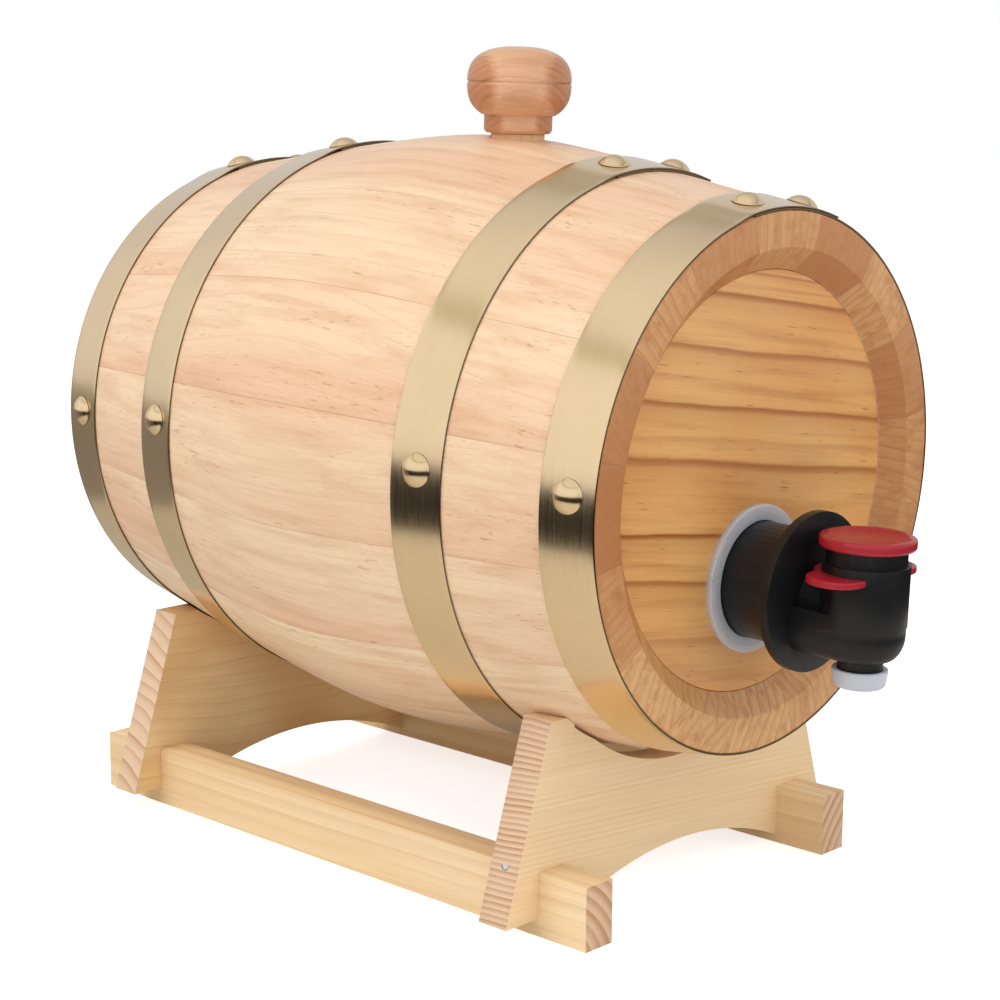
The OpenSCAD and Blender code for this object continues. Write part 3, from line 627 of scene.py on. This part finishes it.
class CASK_OT_staves(bpy.types.Operator):
    """Lay the staves side by side round the cask, each with its own grain"""
    bl_idname = "cask.staves"
    bl_label = "Staves"

    def execute(self, context):
        sizes, colours = in_millimetres(), swatches()
        # rim=0.9 leaves the bevel at each chime darker than the square end of the stave, a
        # painted shade
        pine = timber("pine_planed_lacquered", colours.stave_light, colours.stave_line,
                      colours.stave_pink, colours.stave_end, CASK.along, ring=3.8,
                      strength=0.38, banding=0.5, blotches=0.75, fleck=0.6, rim=0.9,
                      roughness=0.4, coat=0.2)
        outline = stave_outline()
        turn = 2 * math.pi / sizes.staves
        corner = np.linspace(0, np.pi / 2, 4)
        pull = ARRIS * (1 - np.sin(corner))
        reach = turn / 2 - (STAVE_JOINT + ARRIS * (1 - np.cos(corner))) / sizes.bilge_radius
        angles = np.concatenate([-reach, np.linspace(-reach[-1], reach[-1], 13)[1:-1],
                                 reach[::-1]])
        pulls = np.concatenate([pull, np.zeros(11), pull[::-1]])
        luck = np.random.default_rng(RANDOM_SEED)
        for i in range(sizes.staves):
            node = f"stave_{i + 1:02d}"
            middle = i * turn
            rings = []
            for away, amount in zip(angles, pulls):
                r, y = inset(outline, amount).T
                a = middle + away
                rings.append(np.stack([r * np.sin(a), y, r * np.cos(a)], -1))
            item = piece(f"{node}_wood", sweep(CASK(np.array(rings))), pine, "cask",
                         [node], sharp=28)
            if i == 0:
                stopper_y = CASK.local(centre("stopper_plug"))[1]
                hole = Place(CASK([[0, stopper_y, 0]])[0], CASK.along)
                bore(item, hole, "z", BUNG_HOLE, 60, 95)
            # most staves are sawn through the heart, so their rings stand upright in them
            lean = luck.choice([-1, 1]) * luck.normal(math.pi / 2, 0.35)
            heart = luck.uniform(45, 120) * np.array([math.sin(lean), math.cos(lean)])
            drift, start = luck.uniform(-0.03, 0.03, 2), luck.uniform(0, 900)
            x, y, z = CASK.local(points_of(item))
            around = np.mod(np.arctan2(x, z) - middle + np.pi, 2 * np.pi) - np.pi
            write_board(item, [around * sizes.bilge_radius + heart[0] + drift[0] * y,
                               y + start, np.hypot(x, z) - 78 + heart[1] + drift[1] * y],
                        STAVE_TINTS[i % len(STAVE_TINTS)])
        return {"FINISHED"}


def bore(item, place, axis, radius, low, high):
    """Cuts a round hole along a place's axis through a piece, from low to high."""
    hole = piece("cutter", lathe([[0, low], [radius, low], [radius, high], [0, high]], place,
                                 axis), item.data.materials[0], "cask")
    cut = item.modifiers.new("hole", "BOOLEAN")
    cut.object, cut.operation, cut.solver = hole, "DIFFERENCE", "EXACT"
    bpy.context.view_layer.update()
    seen = item.evaluated_get(bpy.context.evaluated_depsgraph_get())
    mesh = bpy.data.meshes.new_from_object(seen)
    item.modifiers.clear()
    item.data = mesh
    bpy.data.objects.remove(hole)
    mesh.shade_smooth()
    mesh.set_sharp_from_angle(angle=math.radians(35))


class CASK_OT_heads(bpy.types.Operator):
    """Set a head into either end of the cask, with its grain level"""
    bl_idname = "cask.heads"
    bl_label = "Heads"

    def execute(self, context):
        sizes, colours = in_millimetres(), swatches()
        material = timber("pine_head_golden_lacquer", colours.head_light, colours.head_line,
                          colours.head_warm, colours.head_warm, RIGHT, ring=HEAD_YEAR,
                          strength=1.0, banding=0.42, halo=0.32, fleck=1.0, wander=0.022,
                          warp=0.3, roughness=0.36, coat=0.25)
        edge = sizes.head_radius - 0.12
        outline = soften([[0, 0], [edge, 0], [edge, LIP], [edge + TONGUE, LIP],
                          [edge + TONGUE, 2 * LIP], [edge, 2 * LIP],
                          [edge, HEAD_THICKNESS], [0, HEAD_THICKNESS]],
                         [0, 0.5, 0, 0.2, 0.2, 0, 0.4, 0])
        # the face has many rings of points, because its growth lines are stored in them
        rings = np.stack([np.linspace(0, edge - 1, 40), np.zeros(40)], -1)
        outline = np.concatenate([rings, outline[1:]])
        depth = sizes.length / 2 - sizes.head_depth
        for node, flip in (("front_head", 1), ("rear_head", -1)):
            profile = outline * [1, flip] + [0, -flip * depth]
            item = piece(f"{node}_wood", lathe(profile, CASK, "y", 160), material, "cask",
                         [node], sharp=28)
            if flip == 1:
                bore(item, TAP, "y", TAP_SLEEVE, -5, 30)
            x, y, z = CASK.local(points_of(item))
            # a year's summer wood is darkest just before its end, and lies on the line
            years = np.interp(z + HEAD_FALL * x, HEAD_LINES,
                              np.arange(len(HEAD_LINES)) + 0.98)
            write_board(item, [0 * x, x + 400 * flip,
                               HEAD_YEAR * (years + 3) + 0.12 * (y - y.min())], 0.35)
        return {"FINISHED"}


def hoops():
    """Each hoop's node, the middle of its width along the cask, and its turn."""
    sizes = in_millimetres()
    outer = (sizes.length - sizes.hoop_width) / 2
    inner = outer - sizes.hoop_width - sizes.hoop_gap
    return zip(HOOPS, (-outer, -inner, inner, outer), HOOP_TURNS)


def hoop_section(middle, level):
    """The strip's rounded cross-section as a closed outline of [radius, distance along the
    cask], lying level millimetres off the wood."""
    sizes = in_millimetres()
    y = middle + np.linspace(-0.5, 0.5, 9) * sizes.hoop_width
    low = stave_radius(y) + level
    top = low + sizes.hoop_thickness
    outline = np.concatenate([np.stack([low, y], -1), np.stack([top, y], -1)[::-1]])
    softness = np.zeros(len(outline))
    softness[[0, 8, 9, -1]] = 0.3
    return soften(outline, softness, steps=3, closed=True)


class CASK_OT_hoops(bpy.types.Operator):
    """Wrap the four brass hoops round the cask, each lapped over itself at the top"""
    bl_idname = "cask.hoops"
    bl_label = "Hoops"

    def execute(self, context):
        thickness = in_millimetres().hoop_thickness
        # the strip's sheared edges get a strong painted shade
        metal = brass("brass_strip_brushed", 0.2, 0.03, painted_edge_shade=0.8)
        # the strip starts as the upper layer of the lap, steps down, and goes once round
        upper = LAP_END - LAP_START
        turn = np.concatenate([np.linspace(0, upper, 15),
                               upper + np.linspace(0.5, LAP_STEP, 10),
                               np.linspace(upper + LAP_STEP, 360 + upper, 151)[1:]])
        fall = np.clip((turn - upper) / LAP_STEP, 0, 1)
        lift = 1 - fall * fall * (3 - 2 * fall)
        for node, middle, moved in hoops():
            rings = []
            for a, raised in zip(np.radians(LAP_END + moved - turn), lift):
                r, y = hoop_section(middle, HOOP_LIFT + raised * (thickness + 0.02)).T
                rings.append(np.stack([r * np.sin(a), y, r * np.cos(a)], -1))
            piece(f"{node}_strip", sweep(CASK(np.array(rings))), metal, "cask",
                  [node], sharp=50)
        return {"FINISHED"}


def dome(middle, degrees, level):
    """A domed nail head that stands on the cask's side: a spherical cap with a small
    rolled rim, turned about the side's normal."""
    sizes = in_millimetres()
    r, h = sizes.rivet_radius, sizes.rivet_height
    ball = (r * r + h * h) / (2 * h)
    rise = np.linspace(0, math.asin(r / ball) * 0.97, 16)
    cap = np.stack([ball * np.sin(rise), h - ball * (1 - np.cos(rise))], -1)[::-1]
    outline = soften(np.concatenate([[[0, -0.35], [r - 0.2, -0.35], [r, 0.1]], cap]),
                     [0, 0.2, 0.3] + [0] * 16)
    a = math.radians(degrees)
    radial = math.sin(a) * CASK.across + math.cos(a) * CASK.up
    slope = float(stave_radius(middle + 0.5) - stave_radius(middle - 0.5))
    normal = unit(radial - slope * CASK.along)
    side = unit(np.cross(normal, CASK.along))
    foot = CASK.origin + MM * ((float(stave_radius(middle)) + level) * radial
                               + middle * CASK.along)
    return lathe(outline, Place(foot, np.cross(normal, side), side), "z", 40)


class CASK_OT_rivets(bpy.types.Operator):
    """Put two rivets through each hoop's lap and a nail through either side"""
    bl_idname = "cask.rivets"
    bl_label = "Rivets and nails"

    def execute(self, context):
        thickness = in_millimetres().hoop_thickness
        # the nail heads get no painted edge shade, but keep the painted corner shade
        metal = brass("brass_nail_polished", 0.2, 0.02, painted_edge_shade=0.0)
        layers = [(a, 2) for a in LAP_RIVETS] + [(a, 1) for a in SIDE_NAILS]
        for node, middle, moved in hoops():
            parts = [dome(middle, a + moved, HOOP_LIFT + count * thickness)
                     for a, count in layers]
            piece(f"{node}_rivets_domes", join(parts), metal, "cask",
                  [f"{node}_rivets"])
        return {"FINISHED"}


# -------- the gland, tap and button

class CASK_OT_gland(bpy.types.Operator):
    """Fit the translucent gland in the front head, with the full bag behind it"""
    bl_idname = "cask.gland"
    bl_label = "Gland and bag"

    def execute(self, context):
        clear = moulded("polythene_translucent", colour("#e4e7ef"), 0.3, grain=0.02,
                        IOR=1.51, Transmission_Weight=0.45, Subsurface_Weight=0.3,
                        Subsurface_Radius=(0.004, 0.004, 0.004))
        face = in_millimetres().head_depth
        front, seat = face - RING_DEPTH, face + HEAD_THICKNESS
        back, outer = seat + FLANGE_DEPTH, TAP_SLEEVE - 0.01
        ring = soften([[TAP_SLEEVE, front], [GLAND_RING, front], [GLAND_RING, face],
                       [TAP_SLEEVE, face]], [0.15, 0.7, 0.1, 0.1], closed=True)
        sleeve = soften([[GLAND_BORE, front], [outer, front], [outer, seat],
                         [GLAND_FLANGE, seat], [GLAND_FLANGE, back], [GLAND_BORE, back]],
                        [0.4, 0.1, 0, 0.3, 0.3, 0.3], closed=True)
        for node, outline in (("gland_ring", ring), ("bag_gland", sleeve)):
            piece(f"{node}_moulded", lathe(outline, TAP, "y", 128), clear, "cask",
                  [node])
        foil = moulded("bag_film_laminate", colour("#cfd3d6"), 0.3, grain=0.2)
        piece("liner_bag_filled", bag_shape(back), foil, "cask", ["liner_bag"],
              sharp=60)
        return {"FINISHED"}


def bag_shape(back):
    """The filled bag: a drum with rounded corners whose skin is drawn in by soft creases
    that run along it and deepen towards its ends. Its mouth closes on the gland."""
    half = in_millimetres().length / 2
    front, rear = back - half, half - back - BAG_END
    outline = soften([[0, front], [BAG_RADIUS, front], [BAG_RADIUS, rear], [0, rear]],
                     [0, BAG_CORNER, BAG_CORNER, 0], steps=12)
    share = np.linspace(0, 1, 60), np.linspace(0, 1, len(outline))
    radius, along = np.interp(*share, outline[:, 0]), np.interp(*share, outline[:, 1])
    turn = np.linspace(0, 2 * np.pi, 144, endpoint=False)[:, None]
    ends = np.abs(2 * (along - front) / (rear - front) - 1) ** 2
    crease = (0.5 + 0.5 * np.sin(13 * turn + 0.05 * along)) * (0.6 + 1.6 * ends)
    shrunk = radius[None] - crease * np.minimum(1, radius / 30)[None]
    shrunk[:, 0] = shrunk[:, -1] = 0
    points = np.stack([shrunk * np.sin(turn), along + 0 * turn, shrunk * np.cos(turn)], -1)
    return CASK(points).reshape(-1, 3), quads(144, 60, True, False)


class CASK_OT_tap(bpy.types.Operator):
    """Fit the tap's body, finger grips, spring and seals"""
    bl_idname = "cask.tap"
    bl_label = "Tap"

    def execute(self, context):
        colours = swatches()
        black = moulded("acetal_black", colours.black, 0.36, Specular_IOR_Level=0.38)
        red = moulded("polypropylene_red", colours.red, 0.3)
        rubber = moulded("silicone_rubber", colour("#5a5a5c"), 0.6, IOR=1.43)
        wire = steel("spring_steel_wire", colour("#b9bcc0"), 0.25)
        clear = bpy.data.materials["polythene_translucent"]
        # each piece's name after its node's, material, body, slot, rounding and its steps
        for node, name, material, body, slot, width, steps in (
                ("tap_body", "moulded", black, "tap", "black_plastic", 0.35, 3),
                ("finger_grips", "moulded", red, "tap", "red_plastic", 0.9, 5),
                ("shank_seal", "ring", rubber, "tap", "seal_rubber", 0.1, 2),
                ("stem_seal", "ring", rubber, "tap", "seal_rubber", 0.1, 2),
                ("return_spring", "wire", wire, "tap", "spring_steel", 0.05, 1),
                ("button_cap", "moulded", red, "button", "red_plastic", 0.2, 3),
                ("valve_plunger", "moulded", black, "button", "black_plastic", 0.15, 3),
                ("valve_seal", "ring", rubber, "button", "seal_rubber", 0.2, 3),
                ("dust_cap", "moulded", clear, "dust_cap", "clear_plastic", 0.3, 3)):
            rounded_copy(f"{node}_{name}", node, material, body, width, steps)
        # the spring's wire gets a mesh of its own
        coil = bpy.data.objects["return_spring_wire"]
        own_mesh(coil)
        return {"FINISHED"}


# -------- the stopper

class CASK_OT_stopper(bpy.types.Operator):
    """Turn the stopper's knob, plug and seal"""
    bl_idname = "cask.stopper"
    bl_label = "Stopper"

    def execute(self, context):
        colours = swatches()
        # the knob was turned across the grain, so its streaks run level
        grain = unit([0.7, -0.7, 0.0])
        wood = timber("beech_turned_lacquer", colours.knob_light, colours.knob_line,
                      colour("#deac88"), colour("#c98e62"), grain, ring=2.2, strength=0.45,
                      banding=0.5, fleck=0.1, wander=0.02, roughness=0.34, coat=0.3)
        plain = timber("pine_turned_bare", colour("#e6bf90"), colour("#c08d5c"),
                       colour("#e0b488"), colour("#d2a070"), UP, ring=3.0, strength=0.5,
                       fleck=0.3, coat=0.0)
        rubber = moulded("silicone_clear", colour("#cfd3d8"), 0.4, IOR=1.43)
        for node, material, slot, fibres in (
                ("stopper_knob", wood, "turned_wood", grain),
                ("stopper_plug", plain, "plug_pine", UP)):
            item = rounded_copy(f"{node}_turned", node, material, "stopper", 0.3)
            local = (points_of(item) - centre(node)) / MM
            across = np.cross(fibres, RIGHT if fibres is UP else UP)
            write_board(item, [local @ across + 8, local @ fibres + 60,
                               local @ np.cross(across, fibres) - 40], 0.4)
        rounded_copy("stopper_seal_ring", "stopper_seal", rubber, "stopper",
                     0.05, 1)
        return {"FINISHED"}


# -------- the stand

class CASK_OT_stand(bpy.types.Operator):
    """Nail the stand's two boards to its two rails"""
    bl_idname = "cask.stand"
    bl_label = "Stand"

    def execute(self, context):
        colours = swatches()
        light, line, end = colours.stand_light, colours.stand_line, colours.stand_end
        warm = colour("#efcfa0")
        front = timber("pine_board_sanded", light, line, warm, end, RIGHT, ring=1.6,
                       strength=0.3, halo=0.45, late=0.6, fleck=0.1, warp=0.3)
        rear = timber("pine_board_golden", colours.rear_board, colour("#b98548"),
                      colour("#d9a768"), end, RIGHT, ring=4.2, strength=0.35, halo=0.45,
                      fleck=0.2, wander=0.02)
        rail = timber("pine_rail_sanded", light, line, warm, end, CASK.along, ring=3.2,
                      strength=0.5, banding=0.35, halo=0.5, late=0.6, fleck=0.05, warp=0.4)
        nail = steel("nail_steel_bright", colour("#d8dadd"), 0.22)
        # the boards' rings lie nearly level on edge, and the rails' stand aslant on theirs
        for node, wood, heart in (("front_cradle_board", front, (14.0, 250.0)),
                                  ("rear_cradle_board", rear, (-30.0, 90.0))):
            item = rounded_copy(f"{node}_wood", node, wood, "stand", 0.5)
            x, y, z = ((points_of(item) - centre(node)) / MM).T
            write_board(item, [y + heart[0], x + 300, z + 0.08 * x + heart[1]], 0.3)
        for node, side in (("left_rail", -1), ("right_rail", 1)):
            item = rounded_copy(f"{node}_wood", node, rail, "stand", 0.45)
            x, y, z = ((points_of(item) - centre(node)) / MM).T
            write_board(item, [x - 34 * side, y + 500 + 250 * side, z + 30 + 0.01 * y], 0.35)
        rounded_copy("stand_nails_bright", "stand_nails", nail, "stand", 0.1, 2)
        return {"FINISHED"}


# -------- the stage

# in metres: the floor passes behind the object in every view, the softboxes face one point,
# and the photograph's lens faced the other
FLOOR_HALF = 6.0
CARD_RADIUS, CARD_LOW, CARD_HIGH = 0.31, 0.002, 0.115
LIT_POINT = np.array([0.0, 0.0, 0.1])
SHOT_POINT = np.array([0.01676, 0.0, 0.0981])
# each softbox's place, width, share of the key's power, and colour
SOFTBOXES = {"key_softbox": ((-0.72, 0.3, 1.1), 0.9, 1.0, (1.0, 0.99, 0.97)),
             "fill_softbox": ((0.15, -1.15, 0.5), 1.3, 0.55, (1.0, 0.99, 0.975)),
             "low_softbox": ((-0.8, -0.65, 0.12), 0.5, 0.12, (1.0, 1.0, 1.0))}


def by_depth(put, span, front, behind):
    """A colour that changes from front to behind over a span of Y in metres."""
    depth = put("SeparateXYZ", {0: put("NewGeometry", out="Position")}, "Y")
    share = put("MapRange", {0: depth, 1: span[0], 2: span[1]})
    return put("Mix", {0: share, 6: front, 7: behind}, **RGBA)


def prop(name, points, faces, material):
    """A mesh of the stage, which isn't part of the object."""
    mesh = bpy.data.meshes.new(name)
    mesh.from_pydata(points, [], faces)
    mesh.materials.append(material)
    item = link(name, mesh)
    return item


def lay_floor():
    """A pale floor. It glows up to white for the camera and through clear plastic, less
    where the object shades it, and stays a warm grey in the brass, as under a cask on a
    bench."""
    material, put = new_material("paper_sweep_white")
    bench = by_depth(put, (-0.1, 0.22), (0.74, 0.72, 0.66, 1.0), (0.5, 0.48, 0.42, 1.0))
    paper = put("Mix", {0: put("LightPath", out="Is Glossy Ray"), 6: grey(0.85), 7: bench},
                **RGBA)
    glow = put("Math MULTIPLY", {0: seen_directly(put), 1: 0.66})
    surfaced(material, {"Base Color": paper, "Roughness": 0.9, "Specular IOR Level": 0.0,
                        "Emission Color": grey(1.0), "Emission Strength": glow})
    corners = [(x * FLOOR_HALF, y * FLOOR_HALF, 0.0)
               for x, y in ((-1, -1), (1, -1), (1, 1), (-1, 1))]
    prop("floor", corners, [(0, 1, 2, 3)], material)


def stand_card():
    """A low ring of card round the object, black in front and grey behind, which only
    reflections see: it draws the dark band below the horizon in the brass."""
    material, put = new_material("card_black")
    tone = by_depth(put, (0.08, 0.27), grey(0.015), (0.3, 0.29, 0.28, 1.0))
    surfaced(material, {"Base Color": tone, "Roughness": 1.0, "Specular IOR Level": 0.0})
    turn = np.linspace(0, 2 * np.pi, 96, endpoint=False)
    ring = np.stack([np.cos(turn), np.sin(turn), 0 * turn], -1) * CARD_RADIUS
    points = np.concatenate([ring + UP * CARD_LOW, ring + UP * CARD_HIGH])
    item = prop("dark_card", points.tolist(), quads(2, 96, False, True).tolist(), material)
    item.visible_camera = item.visible_diffuse = item.visible_shadow = False
    item.visible_transmission = item.visible_volume_scatter = False


def light_world(scene):
    """White to the camera and through clear plastic, plain daylight to matt surfaces, and
    to mirrors a bright wall, dimmer to the right, with an olive strip under a bright
    ceiling."""
    world = scene.world = bpy.data.worlds.new("studio")
    world.use_nodes = True
    world.node_tree.nodes.clear()
    put = partial(add, world.node_tree)
    way = put("TexCoord", out="Generated")
    right, height = (put("SeparateXYZ", {0: way}, axis) for axis in "XZ")
    strip = (0.62, 0.6, 0.48, 1.0)
    wall = put("ValToRGB", {0: height}, stops=(
        (0.66, grey(1.0)), (0.69, strip), (0.73, strip), (0.8, grey(0.92)),
        (1.0, grey(0.86))))
    aside = put("Math MULTIPLY_ADD", {0: height, 1: -0.7, 2: right})
    aside = put("MapRange", {0: aside, 1: -0.8, 2: -0.15})
    side = put("Mix", {0: aside, 6: grey(1.02), 7: (0.69, 0.7, 0.74, 1.0)}, **RGBA)
    mirrored = put("VectorMath MULTIPLY", {0: wall, 1: side})
    plain = put("Mix", {0: put("LightPath", out="Is Glossy Ray"),
                        6: grey(scene.cask_studio.daylight), 7: mirrored}, **RGBA)
    shown = put("Mix", {0: seen_directly(put), 6: plain, 7: grey(1.0)}, **RGBA)
    put("OutputWorld", {"Surface": put("Background", {"Color": shown})})


def hang_softboxes(key):
    """Square lamps that face the cask."""
    for name, (where, width, share, tint) in SOFTBOXES.items():
        data = bpy.data.lights.new(name, "AREA")
        data.shape, data.size, data.energy, data.color = "SQUARE", width, key * share, tint
        item = link(name, data)
        item.location = where
        aim = Vector(LIT_POINT - where)
        item.rotation_euler = aim.to_track_quat("-Z", "Y").to_euler()
        item.visible_glossy = False


def place_camera(scene):
    """The photograph's camera, set from the studio's turn, height, roll, distance and lens."""
    studio = scene.cask_studio
    turn, tilt = studio.azimuth, studio.elevation
    back = np.array([math.sin(turn) * math.cos(tilt), -math.cos(turn) * math.cos(tilt),
                     math.sin(tilt)])
    data = bpy.data.cameras.new("camera")
    data.lens, data.sensor_width = studio.lens, 36.0
    data.clip_start, data.clip_end = 0.01, 50.0
    item = scene.camera = link("camera", data)
    item.location = SHOT_POINT + back * studio.distance
    aim = Vector(-back).to_track_quat("-Z", "Y").to_matrix()
    item.rotation_euler = (aim @ Matrix.Rotation(studio.roll, 3, "Z")).to_euler()


class CASK_OT_stage(bpy.types.Operator):
    """Set the floor, the light and the camera"""
    bl_idname = "cask.stage"
    bl_label = "Stage"

    def execute(self, context):
        scene = context.scene
        lay_floor()
        stand_card()
        light_world(scene)
        hang_softboxes(scene.cask_studio.key)
        place_camera(scene)
        scene.view_settings.view_transform = "Standard"
        return {"FINISHED"}


class CASK_PT_panel(bpy.types.Panel):
    """Shows the cask's settings and a button for each step"""
    bl_idname = "CASK_PT_panel"
    bl_label = "Coopered Cask"
    bl_space_type = "VIEW_3D"
    bl_region_type = "UI"
    bl_category = "Cask"

    def draw(self, context):
        for key in GROUPS:
            group = getattr(context.scene, key)
            column = self.layout.column(align=True)
            for name in group.__annotations__:
                column.prop(group, name)
        for operator in OPERATORS:
            self.layout.operator(operator.bl_idname)


GROUPS = {"cask_sizes": CaskSizes, "cask_colours": CaskColours, "cask_studio": StudioSettings}
OPERATORS = (CASK_OT_stage, CASK_OT_staves, CASK_OT_heads, CASK_OT_hoops, CASK_OT_rivets,
             CASK_OT_gland, CASK_OT_tap, CASK_OT_stopper, CASK_OT_stand)
CLASSES = (*GROUPS.values(), *OPERATORS, CASK_PT_panel)


def register():
    for item in CLASSES:
        bpy.utils.register_class(item)
    for name, group in GROUPS.items():
        setattr(bpy.types.Scene, name, bpy.props.PointerProperty(type=group))


def unregister():
    for name in GROUPS:
        delattr(bpy.types.Scene, name)
    for item in reversed(CLASSES):
        bpy.utils.unregister_class(item)


def main():
    register()
    for operator in OPERATORS:
        group, name = operator.bl_idname.split(".")
        getattr(getattr(bpy.ops, group), name)()


if __name__ == "__main__":
    main()
